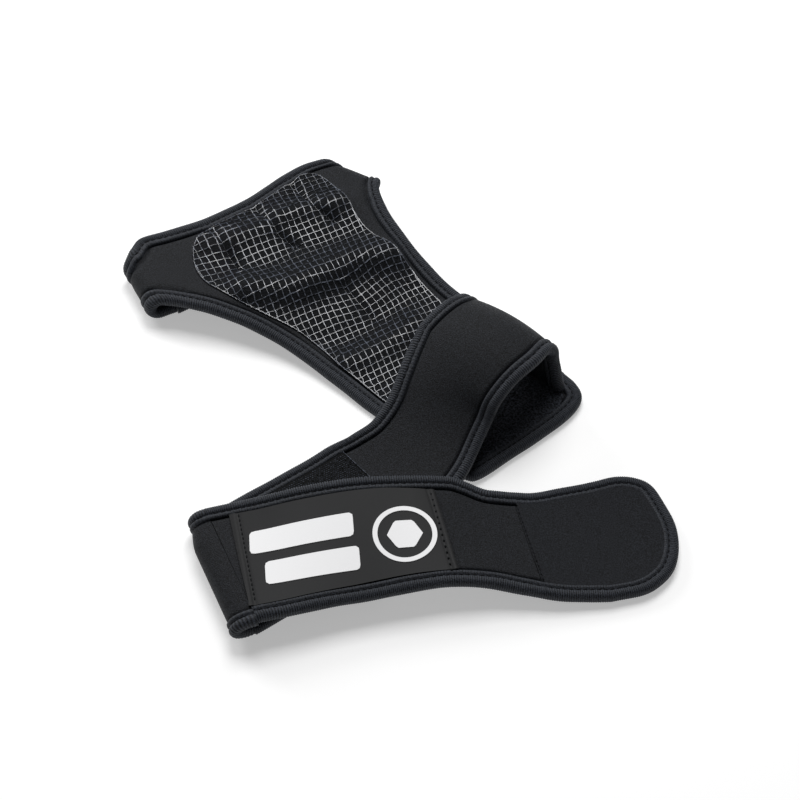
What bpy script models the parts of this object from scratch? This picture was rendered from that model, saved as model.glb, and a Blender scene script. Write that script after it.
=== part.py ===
"""A palm grip with a wrap-round wrist strap, lying palm side up with its strap folded over in front.

Lengths are millimetres until a mesh is made, and the meshes are metres. +Z is up, +X runs along the label
strap towards its tab, and +Y points from the strap to the fingers. Every cloth piece is drawn flat and then
laid out by one of three maps: palm_at and band_at for the grip, strap_at for the strap.
"""

import math

import bmesh
import bpy
import numpy as np

MM = 0.001
CENTRE_X, CENTRE_Y = -4.867, 2.940  # middle of the laid-out grip

# Cloth and tape
PANEL = 3.0  # neoprene with its two jersey faces
TAPE = 0.6  # binding tape
TAPE_GAP = 0.4  # between tape and neoprene
TAPE_WIDTH = 6.2  # what shows of the tape on each face
RIM = TAPE + 0.5  # from the outer edge of the tape to the edge of the neoprene
HALF_BOUND = PANEL / 2 + TAPE_GAP + TAPE  # half the thickness of a bound edge
SEAM = 0.4  # between two pieces sewn edge to edge
BED = HALF_BOUND  # height of a panel's middle where its bound edge lies on the table

# Palm: u runs from the finger edge to the wrist, s across towards the thumb
PALM_X, PALM_Y, PALM_HEADING = -68.0, 104.0, -47.7
ROW_ANGLE = ((0, 32.5), (18, 37.0), (36, 41.3), (50, 42.3))
PALM_HEIGHT = ((0, 12.6), (30, 12.9), (50, 10.6), (70, 6.8), (95, 3.6), (120, BED), (190, BED))
FOLD_LEFT = ((0, 55.2), (12, 60.2), (25, 63.7), (40, 66.2))
FOLD_RIGHT = ((0, 40.2), (12, 43.3), (25, 46.5), (40, 51.5))
FINGER_EDGE = (
    (-92, 1.7), (-62, 1.7), (-50, -3.8), (-40, -2), (-21, 0.7), (-8, 0.7), (0, 0.2), (12, -1.8),
    (21, -3.8), (33, -4.9), (39, -4.1), (52, 0.1), (62, 1.7), (80, 1.7),
)
WING_LEFT, WING_RIGHT = -86.0, 70.0  # where the wings meet the back-of-hand band
LEFT_SIDE = (
    (26, -86), (25, -80), (24.5, -73), (26, -67), (29.8, -62), (35, -57.8), (43, -52.2), (57, -45),
    (74, -39.4), (97, -36), (122, -34.4), (150, -32), (166, -30.6),
)
WRIST_END = (
    (166, -30.6), (173, -29.2), (176.4, -25), (177.5, -10), (178.3, 5), (178.4, 20), (177.1, 30.2), (173.8, 36),
    (167.5, 38.6), (160, 39),
)
RIGHT_SIDE = (
    (160, 39), (150, 39), (120, 38), (94, 37), (78, 37.8), (61, 39.7), (46, 42.8), (34, 47.8),
    (28.3, 53), (26.3, 59.5), (26.7, 65), (27.2, 70),
)
BAND_REAR = ((-70, 26), (-45, 28), (-20, 30), (10, 27), (30, 27), (52, 28))
BAND_FRONT = 1.7

# Strap: a runs along it from the seam on the wrist end, b across towards the palm
FOOT_X, FOOT_Y, FOOT_Z = 46.7, 17.7, 5.4
HEADING = (
    (0, 231.5), (18, 231.5), (30, 229), (42, 220), (58, 223), (74, 237), (88, 239), (102, 234), (115, 222),
    (126, 217), (212, 217), (228, 212), (256, 216), (283, 222), (308, 223.5), (338, 221.5), (386, 222.5),
)
PITCH = (
    (0, 86), (7.5, 92), (15.5, 94), (21.5, 66), (29.5, 22), (37.5, 0), (51, -25), (63, -34), (79, -27),
    (91, -18), (105, -13), (121, -9.5), (142, 0), (400, 0),
)
FOLD_AT, FOLD_AXIS, FOLD_RADIUS = 189.0, 113.0, 5.0
FOLD_BULGE = 0.62  # how much further the fold reaches at its open end
BULGE_FROM, BULGE_OVER = 27.0, 16.0  # where along the fold the bulge begins, and how far it takes to grow
ARCH_CROWN = ((0, 0), (12, 0.3), (24, 1.9), (36, 2.2), (60, 1.7), (90, 0.7), (110, 0.2), (120, 0))
CROWN_REACH = 19.0  # how far from the strap's middle the arch is raised; past it the edges droop
LABEL_RISE = (
    (197, 0), (217, 1.5), (237, 2), (257, 2), (277, 1.6), (292, 0.2), (304, -2.3), (317, -5.1), (337, -8.3),
    (357, -9.6), (386, -10),
)
LABEL_TILT = ((197, 0), (217, 0.04), (237, 0.1), (257, 0.14), (277, 0.1), (292, 0.05), (304, 0), (386, 0))
UPPER_EDGE = (
    (0, 24), (13, 24), (26, 25.2), (40, 26.2), (53, 26), (62, 23), (71, 19.8), (83, 18.1), (92, 19),
    (105, 23.4), (124, 27.3), (182, 28.8), (217, 29.2), (237, 29), (277, 28), (292, 28.6), (300, 26.8),
    (308, 24.5), (322, 24.6), (337, 27.6), (352, 31),
)
LOWER_EDGE = (
    (0, 27), (10, 24.6), (18, 22.6), (26, 22.6), (36, 24.2), (57, 25.2), (80, 26), (97, 27.2), (122, 26.5),
    (182, 29.5), (200, 28.9), (217, 26.9), (237, 25.8), (254, 25.3), (277, 23.6), (292, 22.3), (306, 22.5),
    (320, 24.4), (336, 26.6), (352, 27),
)
TAB_END = (
    (352, 31), (361, 32.9), (368.8, 31.8), (375, 27.3), (379.3, 17.2), (382, 6.5), (381.6, -4), (378.5, -13.5),
    (373, -20), (365, -24.6), (352, -27),
)


def smooth(x, pairs):
    """Height at x of a smooth curve through hand-set pairs, level beyond its ends and never overshooting."""
    k, v = np.asarray(pairs, float).T
    x = np.clip(np.asarray(x, float), k[0], k[-1])
    rise = np.diff(v) / np.diff(k)
    both = rise[:-1] * rise[1:]
    inner = np.where(both > 0, 2 * both / np.where(both > 0, rise[:-1] + rise[1:], 1), 0)
    slope = np.concatenate([rise[:1], inner, rise[-1:]])
    i = np.clip(np.searchsorted(k, x, side="right") - 1, 0, len(k) - 2)
    h = k[i + 1] - k[i]
    t = (x - k[i]) / h
    start = (1 + 2 * t) * (1 - t) ** 2 * v[i] + t * (1 - t) ** 2 * h * slope[i]
    return start + t * t * (3 - 2 * t) * v[i + 1] + t * t * (t - 1) * h * slope[i + 1]


def ease(x):
    """Smooth step from 0 to 1."""
    x = np.clip(x, 0, 1)
    return x * x * (3 - 2 * x)


def curve(points, steps):
    """Catmull-Rom run through hand-set points, steps to each stretch."""
    p = np.asarray(points, float)
    q = np.vstack([2 * p[0] - p[1], p, 2 * p[-1] - p[-2]])
    t = np.linspace(0, 1, steps, endpoint=False)[:, None]
    runs = []
    for a, b, c, d in zip(q, q[1:], q[2:], q[3:]):
        square, cube = 2 * a - 5 * b + 4 * c - d, 3 * b - a - 3 * c + d
        runs.append(0.5 * (2 * b + (c - a) * t + square * t**2 + cube * t**3))
    return np.vstack(runs + [p[-1:]])


def turn(degrees):
    """Unit vector in plan, anticlockwise from +X."""
    return np.array([math.cos(math.radians(degrees)), math.sin(math.radians(degrees))])


def palm_row(u):
    """Middle and direction of the row across the palm at u."""
    along = turn(PALM_HEADING)
    angle = np.radians(smooth(u, ROW_ANGLE))
    return PALM_X + u * along[0], PALM_Y + u * along[1], np.cos(angle), np.sin(angle)


def palm_at(u, s):
    """Middle of the palm cloth, which rolls under at both folds."""
    u, s = np.broadcast_arrays(np.asarray(u, float), np.asarray(s, float))
    x, y, dx, dy = palm_row(u)
    height = smooth(u, PALM_HEIGHT)
    radius = np.maximum((height - BED) / 2, 0.05)
    fold = np.where(s < 0, smooth(u, FOLD_LEFT), smooth(u, FOLD_RIGHT))
    past = np.maximum(np.abs(s) - fold, 0)
    bend = np.minimum(past / radius, np.pi)
    under = np.maximum(past - np.pi * radius, 0)
    reach = np.where(past > 0, fold + radius * np.sin(bend) - under, np.abs(s)) * np.sign(s)
    return np.stack([x + reach * dx, y + reach * dy, height - radius * (1 - np.cos(bend))], -1)


def band_at(u, s):
    """Middle of the band under the hand, flat on the table."""
    u, s = np.broadcast_arrays(np.asarray(u, float), np.asarray(s, float))
    x, y, dx, dy = palm_row(u)
    return np.stack([x + s * dx, y + s * dy, np.full(u.shape, BED)], -1)


STEPS_A = np.arange(0, 420.5, 0.5)


def strap_path():
    """Middle line of the unfolded strap at every step of its length."""
    a = (STEPS_A[1:] + STEPS_A[:-1]) / 2
    heading, pitch = np.radians(smooth(a, HEADING)), np.radians(smooth(a, PITCH))
    step = np.diff(STEPS_A)
    moves = step * np.cos(pitch) * np.cos(heading), step * np.cos(pitch) * np.sin(heading), step * np.sin(pitch)
    return [start + np.concatenate([[0], np.cumsum(m)]) for start, m in zip((FOOT_X, FOOT_Y, FOOT_Z), moves)]


PATH_X, PATH_Y, PATH_Z = strap_path()
FOLD_POINT = np.array([np.interp(FOLD_AT, STEPS_A, PATH_X), np.interp(FOLD_AT, STEPS_A, PATH_Y)])
FOLD_OUT, FOLD_ALONG = turn(FOLD_AXIS + 90), turn(FOLD_AXIS)


def strap_at(a, b):
    """Middle of the strap cloth: over the arch, down to the table, and back over itself at the slanting fold."""
    a, b = np.broadcast_arrays(np.asarray(a, float), np.asarray(b, float))
    across, pitch = np.radians(smooth(a, HEADING) - 90), np.radians(smooth(a, PITCH))
    crown = smooth(a, ARCH_CROWN) * (1 - (b / CROWN_REACH) ** 2)
    x = np.interp(a, STEPS_A, PATH_X) + b * np.cos(across) + crown * np.sin(pitch) * np.sin(across)
    y = np.interp(a, STEPS_A, PATH_Y) + b * np.sin(across) - crown * np.sin(pitch) * np.cos(across)
    past = np.maximum((x - FOLD_POINT[0]) * FOLD_OUT[0] + (y - FOLD_POINT[1]) * FOLD_OUT[1], 0)
    bend = np.minimum(past / FOLD_RADIUS, np.pi)
    back = np.maximum(past - np.pi * FOLD_RADIUS, 0)
    spread = (x - FOLD_POINT[0]) * FOLD_ALONG[0] + (y - FOLD_POINT[1]) * FOLD_ALONG[1]
    bulge = 1 + FOLD_BULGE * ease((BULGE_FROM - spread) / BULGE_OVER)
    shift = FOLD_RADIUS * bulge * np.sin(bend) - back - past
    z = np.interp(a, STEPS_A, PATH_Z) + crown * np.cos(pitch) + FOLD_RADIUS * (1 - np.cos(bend))
    z = z + smooth(a, LABEL_RISE) + smooth(a, LABEL_TILT) * b
    return np.stack([x + shift * FOLD_OUT[0], y + shift * FOLD_OUT[1], z], -1)


def fold_line(b, past):
    """Length along the strap, at b, that lies past the start of the fold."""
    along, across = turn(217) @ FOLD_OUT, turn(127) @ FOLD_OUT
    return FOLD_AT + (past - across * np.asarray(b, float)) / along


def fold_at(past, b):
    """Middle of the strap cloth round the fold, by distance round it."""
    return strap_at(fold_line(b, past), b)


def wing_end(u, side):
    """Where a wing's end lies under the hand; side is -1 or 1."""
    fold, cloth = (smooth(u, FOLD_LEFT), -WING_LEFT) if side < 0 else (smooth(u, FOLD_RIGHT), WING_RIGHT)
    return side * (2 * fold + math.pi * (smooth(u, PALM_HEIGHT) - BED) / 2 - cloth)


# ---- solids
FOLD_END = math.pi * FOLD_RADIUS
FINE, COARSE = 2.4, 8.0  # mesh size round a fold and on the flat
SKIN = PANEL / 2 + 0.2  # where a piece laid on the cloth begins
PATCH, STRIP, COVER, PRINT = 0.9, 0.8, 0.7, 0.25  # how thick the laid-on pieces are

GRIP_PATCH = (
    (13, -36.4), (18.7, -41), (26, -44.6), (33.7, -44.4), (41.7, -42), (56, -37.6), (73, -32.8),
    (97, -29.4), (122, -27.6), (131, -26), (134, -20), (134, 12), (131, 16), (123, 18.5), (116.5, 22), (112, 25),
    (89, 28.2), (64, 28), (41, 30.6), (28, 32.5), (17, 34.8), (8, 34.2),
)
GRIP_FRONT = (31, 21, 12, 0, -10, -20, -26, -31)
LOOP_PATCH = ((138, -25), (166.8, -23.2), (169, -20), (170.8, 5), (170.4, 22), (168, 27), (163, 26.4), (139, 22))
SEAM_STRIP = ((120.5, 21), (160.5, 27.2), (161.5, 29.4), (159.5, 31.6), (120, 25.5))
HOOK_FROM, HOOK_TO = 117.0, 183.0
LABEL = ((210.5, -19.6), (250, -18.6), (277, -16.8), (293.5, -15.2), (286.3, 20.4), (247, 21.8), (208, 22))
UPPER_BAR = ((216, 2), (255, 2), (257, 12.5), (218, 12.5))
LOWER_BAR = ((219, -13), (252, -13), (254, -2.5), (221, -2.5))
MARK = (273.5, 0.5)
RING_OUTER, RING_INNER, HEXAGON = 12.5, 10.9, 6.5
LABEL_THICK = 1.1
TAB_AT, TAB_SLANT = 321.6, -0.205
DIVIDERS = ((1, -21.5), (2, -0.5), (3, 21.5))
DIVIDER_WIDE, DIVIDER_THICK, DIVIDER_IN = 7.0, 1.2, 3.4

ROOT_PIVOT = (48.4, 19.8, 5.4)
FOLD_PIVOT = (FOLD_POINT[0], FOLD_POINT[1], BED + 0.1 + FOLD_RADIUS)
TAB_PIVOT = (49.841, -79.79, 9.4)
FIXED = (CENTRE_X, CENTRE_Y, 0.0)

BLACK_CLOTH = (0.020, 0.021, 0.023)
BLACK_TAPE = (0.026, 0.027, 0.030)
GREY_SILICONE = (0.33, 0.34, 0.36)
BLACK_PILE = (0.015, 0.015, 0.017)
BLACK_HOOK = (0.030, 0.031, 0.034)
BLACK_RUBBER = (0.045, 0.046, 0.050)
WHITE_PRINT = (0.72, 0.73, 0.74)


def material(name, colour, roughness):
    """Principled material of its own for one piece."""
    m = bpy.data.materials.new(name)
    m.use_nodes = True
    shader = m.node_tree.nodes["Principled BSDF"]
    shader.inputs["Base Color"].default_value = (*colour, 1)
    shader.inputs["Roughness"].default_value = roughness
    return m


def finish(name, bm, origin, colour, roughness):
    """One named solid with outward faces, rounded shading, its own material and its origin on its joint."""
    bmesh.ops.recalc_face_normals(bm, faces=bm.faces[:])
    bmesh.ops.triangulate(bm, faces=bm.faces[:])
    for v in bm.verts:
        v.co = [(value - start) * MM for value, start in zip(v.co, origin)]
    mesh = bpy.data.meshes.new(name)
    bm.to_mesh(mesh)
    bm.free()
    for polygon in mesh.polygons:
        polygon.use_smooth = True
    mesh.materials.append(material(name, colour, roughness))
    piece = bpy.data.objects.new(name, mesh)
    piece.location = [(value - start) * MM for value, start in zip(origin, FIXED)]
    bpy.context.scene.collection.objects.link(piece)


def laid(surface, flat, lift):
    """Points of the laid-out cloth at flat, lifted off its middle."""
    p, q = flat[:, 0], flat[:, 1]
    d = 0.2
    along = surface(p + d, q) - surface(p - d, q)
    across = surface(p, q + d) - surface(p, q - d)
    normal = np.cross(along, across) * (1 if surface in (palm_at, band_at) else -1)
    normal /= np.maximum(np.linalg.norm(normal, axis=1, keepdims=True), 1e-9)
    return surface(p, q) + normal * np.asarray(lift, float).reshape(-1, 1)


def cut_flat(outline, lines):
    """Flat outline cut along lines of constant first and second coordinate."""
    flat = bmesh.new()
    flat.faces.new([flat.verts.new((p, q, 0)) for p, q in outline])
    for axis, values in enumerate(lines):
        normal = np.eye(3)[axis]
        for at in values:
            everything = flat.verts[:] + flat.edges[:] + flat.faces[:]
            bmesh.ops.bisect_plane(flat, geom=everything, dist=0.05, plane_co=normal * at, plane_no=normal)
    bmesh.ops.triangulate(flat, faces=flat.faces[:])
    flat.verts.index_update()
    return flat


def sheet(name, outline, surface, low, high, lines, look):
    """Cloth cut flat to an outline and laid out between two lifts."""
    flat = cut_flat(outline, lines)
    points = np.array([v.co[:2] for v in flat.verts])
    solid = bmesh.new()
    top = [solid.verts.new(p) for p in laid(surface, points, high)]
    bottom = [solid.verts.new(p) for p in laid(surface, points, low)]
    for face in flat.faces:
        ring = [v.index for v in face.verts]
        solid.faces.new([top[i] for i in ring])
        solid.faces.new([bottom[i] for i in reversed(ring)])
    for edge in flat.edges:
        if edge.is_boundary:
            i, j = (v.index for v in edge.verts)
            solid.faces.new([top[i], top[j], bottom[j], bottom[i]])
    flat.free()
    finish(name, solid, *look)


def grid(low, high, gap):
    """Values inside low to high, gap or less apart."""
    return np.linspace(low, high, max(2, math.ceil((high - low) / gap) + 1))[1:-1]


def steps(*stretches):
    """Distances covering each (start, stop, gap) stretch evenly, ends included."""
    runs = [np.linspace(a, b, max(2, math.ceil((b - a) / gap) + 1)) for a, b, gap in stretches]
    return np.unique(np.round(np.concatenate(runs), 3))


def run_of(path):
    """Distance along a path at each of its points."""
    return np.concatenate([[0], np.cumsum(np.linalg.norm(np.diff(path, axis=0), axis=1))])


def edge_at(path, at, first=None, last=None):
    """Points and outward directions along an edge with the cloth on its left; first and last turn the ends."""
    run = run_of(path)
    spots = [
        np.stack([np.interp(at + d, run, path[:, 0]), np.interp(at + d, run, path[:, 1])], 1) for d in (-1, 0, 1)
    ]
    along = spots[2] - spots[0]
    out = np.stack([along[:, 1], -along[:, 0]], 1)
    out /= np.linalg.norm(out, axis=1, keepdims=True)
    for i, cut in ((0, first), (-1, last)):
        if cut is not None:
            out[i] = np.array(cut) * np.sign(np.dot(cut, out[i]))
    return spots[1], out


def rim(edge):
    """Edge of the neoprene inside a bound edge."""
    return edge[0] - edge[1] * RIM


def binding(name, edge, surface, look):
    """Tape folded over a bound edge."""
    high, low = HALF_BOUND, PANEL / 2 + TAPE_GAP
    section = np.array((
        (-TAPE_WIDTH, high), (-0.9, high), (0, high - 1.2), (0, 1.2 - high), (-0.9, -high), (-TAPE_WIDTH, -high),
        (-TAPE_WIDTH, -low), (0.3 - RIM, -low), (0.3 - RIM, low), (-TAPE_WIDTH, low),
    ))
    solid = bmesh.new()
    rings = []
    for point, side in zip(*edge):
        flat = point + section[:, :1] * side
        rings.append([solid.verts.new(p) for p in laid(surface, flat, section[:, 1])])
    for one, two in zip(rings, rings[1:]):
        for i in range(len(section)):
            j = (i + 1) % len(section)
            solid.faces.new([one[i], one[j], two[j], two[i]])
    for ring in (rings[0], rings[-1]):
        for corners in ((0, 1, 8, 9), (1, 2, 8), (2, 3, 7, 8), (3, 4, 7), (4, 5, 6, 7)):
            solid.faces.new([ring[i] for i in corners])
    finish(name, solid, *look)


def round_piece(name, centre, outer, inner, low, high, count, surface, look):
    """Ring of count sides laid on the cloth, or a plate when inner is nought."""
    turns = np.linspace(0, 2 * np.pi, count, endpoint=False)
    circle = np.stack([np.cos(turns), np.sin(turns)], 1)
    solid = bmesh.new()
    loops = []
    for radius, lift in ((outer, low), (outer, high), (inner, high), (inner, low)):
        if radius:
            loops.append([solid.verts.new(p) for p in laid(surface, centre + radius * circle, lift)])
    for one, two in zip(loops, loops[1:] + loops[:1] if inner else loops[1:]):
        for i in range(count):
            j = (i + 1) % count
            solid.faces.new([one[i], one[j], two[j], two[i]])
    if not inner:
        solid.faces.new(loops[0])
        solid.faces.new(loops[1])
    finish(name, solid, *look)


def palm_lines():
    """Cut lines of the palm cloth, close together where the wings roll under."""
    across = [grid(WING_LEFT, -56, FINE), grid(-56, 42, COARSE), (-56, 42), grid(42, WING_RIGHT, FINE)]
    return np.concatenate([grid(0, 30, 3.5), grid(30, 180, COARSE + 1)]), np.concatenate(across)


def lean(edge):
    """Turn the outward directions of a wing's edge along the lines its cloth rolls about."""
    points, out = edge
    for i, (u, s) in enumerate(points[1:-1], 1):
        table, cloth = (FOLD_LEFT, -WING_LEFT) if s < 0 else (FOLD_RIGHT, WING_RIGHT)
        share = np.clip(min(abs(s) - float(smooth(u, table)) + 8, cloth - abs(s)) / 8, 0, 1)
        slope = float(smooth(u + 1, table) - smooth(u, table)) * np.sign(s)
        turned = np.array((1, slope)) * np.sign(out[i, 0])
        out[i] += (turned - out[i]) * share
    return points, out


def build_palm(cloth, tape):
    """Neoprene palm with both wings, and the tape round its edges."""
    path = np.vstack([curve(LEFT_SIDE, 12)[:-1], curve(WRIST_END, 12)[:-1], curve(RIGHT_SIDE, 12)])
    total = run_of(path)[-1]
    left_end = run_of(curve(LEFT_SIDE, 12))[-1]
    right_start = left_end + run_of(curve(WRIST_END, 12))[-1]
    left = lean(edge_at(path, steps((0, 32, FINE), (32, left_end - SEAM / 2, COARSE)), first=(1, 0)))
    wrist = edge_at(path, steps((left_end + SEAM / 2, right_start - SEAM / 2, 5)))
    marks = steps((right_start + SEAM / 2, total - 32, COARSE), (total - 32, total, FINE))
    right = lean(edge_at(path, marks, last=(1, 0)))
    s = np.linspace(WING_RIGHT, WING_LEFT, 157)
    front_path = np.stack([smooth(s, FINGER_EDGE), s], 1)
    end = run_of(front_path)[-1]
    marks = steps((0, 32, FINE), (32, end - 32, COARSE), (end - 32, end, FINE))
    front = lean(edge_at(front_path, marks, first=(1, 0), last=(1, 0)))
    outline = np.vstack([rim(left), rim(wrist), rim(right), rim(front)])
    sheet("palm_panel", outline, palm_at, -PANEL / 2, PANEL / 2, palm_lines(), cloth)
    binding("little_side_binding", left, palm_at, tape)
    binding("wrist_end_binding", wrist, palm_at, tape)
    binding("thumb_side_binding", right, palm_at, tape)
    binding("finger_edge_binding", front, palm_at, tape)


def build_band(cloth, tape):
    """Neoprene band under the hand, sewn to both wings, and the tape along its two edges."""
    rear_ends = [wing_end(u, side) - side * SEAM for u, side in ((26, -1), (27.2, 1))]
    s = np.linspace(*rear_ends, 60)
    rear_path = np.stack([smooth(s, BAND_REAR), s], 1)
    front_ends = [wing_end(BAND_FRONT, side) - side * SEAM for side in (1, -1)]
    front_path = np.stack([np.full(40, BAND_FRONT), np.linspace(*front_ends, 40)], 1)
    rear = edge_at(rear_path, steps((0, run_of(rear_path)[-1], COARSE)), first=(1, -0.50), last=(1, 0.63))
    front = edge_at(front_path, steps((0, run_of(front_path)[-1], COARSE)), first=(1, 0.55), last=(1, -0.93))
    seams = [
        [(u, wing_end(u, side) - side * SEAM) for u in spots] for side, spots in ((1, (20, 11)), (-1, (11, 20)))
    ]
    outline = np.vstack([rim(rear), seams[0], rim(front), seams[1]])
    lines = (10, 19), grid(-62, 46, COARSE)
    sheet("back_band_panel", outline, band_at, -PANEL / 2, PANEL / 2, lines, cloth)
    binding("back_band_front_binding", front, band_at, tape)
    binding("back_band_rear_binding", rear, band_at, tape)


def build_palm_patches(silicone, pile, tape):
    """Silicone grip net on the palm, loop pile on the wrist end, and the strip that holds the strap's foot."""
    front = [(float(smooth(s, FINGER_EDGE)) + TAPE_WIDTH + 0.5, s) for s in GRIP_FRONT]
    lines = grid(0, 134, COARSE), grid(-46, 36, COARSE)
    sheet("grip_patch", GRIP_PATCH + tuple(front), palm_at, SKIN, SKIN + PATCH, lines, silicone)
    sheet("loop_patch", LOOP_PATCH, palm_at, SKIN, SKIN + PATCH, ((152,), (0,)), pile)
    sheet("strap_seam_strip", SEAM_STRIP, palm_at, SKIN, SKIN + STRIP, ((140,), ()), tape)


def build_dividers(tape):
    """Webbing bars that part the finger holes, from the band's front edge up to the palm's."""
    for number, s in DIVIDERS:
        edge = float(smooth(s, FINGER_EDGE))
        low = np.array((BAND_FRONT + DIVIDER_IN, BED + HALF_BOUND + 0.3))
        high = np.array((edge + DIVIDER_IN, float(smooth(edge, PALM_HEIGHT)) - HALF_BOUND - 0.3))
        solid = bmesh.new()
        rings = []
        for share, width in ((0, DIVIDER_WIDE), (0.5, DIVIDER_WIDE * 0.75), (1, DIVIDER_WIDE)):
            u, z = low + (high - low) * share
            half, across = DIVIDER_THICK / 2, width / 2
            corners = (u - half, s - across), (u + half, s - across), (u + half, s + across), (u - half, s + across)
            plan = [band_at(p, q) for p, q in corners]
            rings.append([solid.verts.new((x, y, z)) for x, y, _ in plan])
        for one, two in zip(rings, rings[1:]):
            for i in range(4):
                j = (i + 1) % 4
                solid.faces.new([one[i], one[j], two[j], two[i]])
        solid.faces.new(rings[0])
        solid.faces.new(rings[-1])
        finish(f"finger_divider_{number}", solid, *tape)


def strap_edges(surface, low, high, marks):
    """Both long edges of a stretch of strap, from low to high, with end cuts along those lines.

    low and high give the length along the strap at any b, and marks the spacing of the edge stations.
    """
    sides = []
    for side, table in ((1, UPPER_EDGE), (-1, LOWER_EDGE)):
        ends = []
        for line in (low, high):
            a = float(line(0))
            for _ in range(6):
                a = float(line(side * float(smooth(a, table))))
            ends.append(a)
        a = np.linspace(*ends, 200)
        path = np.stack([a, side * smooth(a, table)], 1)
        cuts = [(float(line(1) - line(0)), 1) for line in (low, high)]
        if side > 0:
            path, cuts = path[::-1], cuts[::-1]
        total = run_of(path)[-1]
        spots = marks(total)
        if side > 0:
            spots = total - spots[::-1]
        sides.append(edge_at(path, spots, first=cuts[0], last=cuts[1]))
    return sides


def square_line(a):
    """Cut straight across the strap at a."""
    return lambda b: a + 0.0 * np.asarray(b, float)


def tab_line(offset):
    """Slanting seam at the start of the tab."""
    return lambda b: TAB_AT + offset + TAB_SLANT * np.asarray(b, float)


def build_strap(cloth, tape, hook):
    """Strap from its foot over the arch to the fold, its two edge tapes and the hook patch."""
    edges = strap_edges(
        strap_at, square_line(SEAM), lambda b: fold_line(b, -SEAM),
        lambda total: steps((0, 62, 3.3), (62, total, COARSE)),
    )
    outline = np.vstack([rim(edges[1]), rim(edges[0])])
    lines = np.concatenate([grid(0, 62, 3.3), grid(62, 190, COARSE)]), grid(-30, 30, 8)
    sheet("strap_panel", outline, strap_at, -PANEL / 2, PANEL / 2, lines, cloth)
    binding("strap_inner_binding", edges[0], strap_at, tape)
    binding("strap_outer_binding", edges[1], strap_at, tape)
    ends = []
    for a in (HOOK_FROM, HOOK_TO):
        inside = TAPE_WIDTH + 0.9
        ends.append((a, float(smooth(a, UPPER_EDGE)) - inside, -float(smooth(a, LOWER_EDGE)) + inside))
    (start, start_top, start_low), (stop, stop_top, stop_low) = ends
    slant = float(fold_line(1, 0) - fold_line(0, 0))
    patch = (
        (start, start_low), (stop - slant * 6, stop_low),
        (stop + slant * stop_top - 2, stop_top), (start, start_top),
    )
    sheet("hook_patch", patch, strap_at, SKIN, SKIN + PATCH, (grid(start, stop, COARSE), (-8, 8)), hook)


def build_fold(cloth, tape):
    """The strap's turn back over itself."""
    b_low = -float(smooth(fold_line(-28, FOLD_END / 2), LOWER_EDGE))
    b_high = float(smooth(fold_line(28, FOLD_END / 2), UPPER_EDGE))
    past = steps((0, FOLD_END, FINE))
    edges = []
    for side, b in ((1, b_high), (-1, b_low)):
        d = past[::-1] if side > 0 else past
        edges.append((np.stack([d, np.full(len(d), b)], 1), np.tile((0.0, side), (len(d), 1))))
    outline = np.vstack([rim(edges[1]), rim(edges[0])])
    sheet("fold_panel", outline, fold_at, -PANEL / 2, PANEL / 2, (past[1:-1], grid(b_low, b_high, 8)), cloth)
    binding("fold_inner_binding", edges[0], fold_at, tape)
    binding("fold_outer_binding", edges[1], fold_at, tape)


def build_label_strap(cloth, tape, rubber, white):
    """Strap from the fold to the tab, with the rubber label and its raised print."""
    edges = strap_edges(
        strap_at, lambda b: fold_line(b, FOLD_END + SEAM), tab_line(-SEAM / 2),
        lambda total: steps((0, total, COARSE)),
    )
    outline = np.vstack([rim(edges[1]), rim(edges[0])])
    lines = grid(196, 330, COARSE), grid(-30, 30, 8)
    sheet("label_strap_panel", outline, strap_at, -PANEL / 2, PANEL / 2, lines, cloth)
    binding("label_strap_inner_binding", edges[0], strap_at, tape)
    binding("label_strap_outer_binding", edges[1], strap_at, tape)
    face = -(SKIN + LABEL_THICK)
    sheet("rubber_label", LABEL, strap_at, face, -SKIN, (grid(208, 291, 7), (-7, 7)), rubber)
    print_low, print_high = face - 0.15 - PRINT, face - 0.15
    sheet("label_bar_upper", UPPER_BAR, strap_at, print_low, print_high, (grid(216, 257, 7), ()), white)
    sheet("label_bar_lower", LOWER_BAR, strap_at, print_low, print_high, (grid(219, 254, 7), ()), white)
    mark = np.array(MARK)
    round_piece("label_ring", mark, RING_OUTER, RING_INNER, print_low, print_high, 28, strap_at, white)
    round_piece("label_hexagon", mark, HEXAGON, 0, print_low, print_high, 6, strap_at, white)


def build_tab(cloth, tape, cover_look):
    """Rounded pull tab with one tape round it and a smooth cover on top."""
    start = tab_line(SEAM / 2)
    lower_a, upper_a = float(start(-25.3)), float(start(24.5))
    a_low, a_high = np.linspace(lower_a, 352, 40)[:-1], np.linspace(352, upper_a, 40)[1:]
    end = curve(TAB_END, 10)[::-1]
    path = np.vstack([
        np.stack([a_low, -smooth(a_low, LOWER_EDGE)], 1), end, np.stack([a_high, smooth(a_high, UPPER_EDGE)], 1),
    ])
    total = run_of(path)[-1]
    edge = edge_at(path, steps((0, total, 4.5)), first=(TAB_SLANT, 1), last=(TAB_SLANT, 1))
    lines = grid(314, 382, COARSE), grid(-30, 30, 8)
    sheet("tab_panel", rim(edge), strap_at, -PANEL / 2, PANEL / 2, lines, cloth)
    binding("tab_binding", edge, strap_at, tape)
    inside = edge_at(path, steps((9, total - 9, 4.5)))
    shrunk = inside[0] - inside[1] * (TAPE_WIDTH + 1.3)
    corners = [(float(tab_line(1.2)(b)), b) for b in (float(shrunk[-1][1]), float(shrunk[0][1]))]
    sheet("tab_cover", np.vstack([shrunk, corners]), strap_at, -(SKIN + COVER), -SKIN, lines, cover_look)


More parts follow.
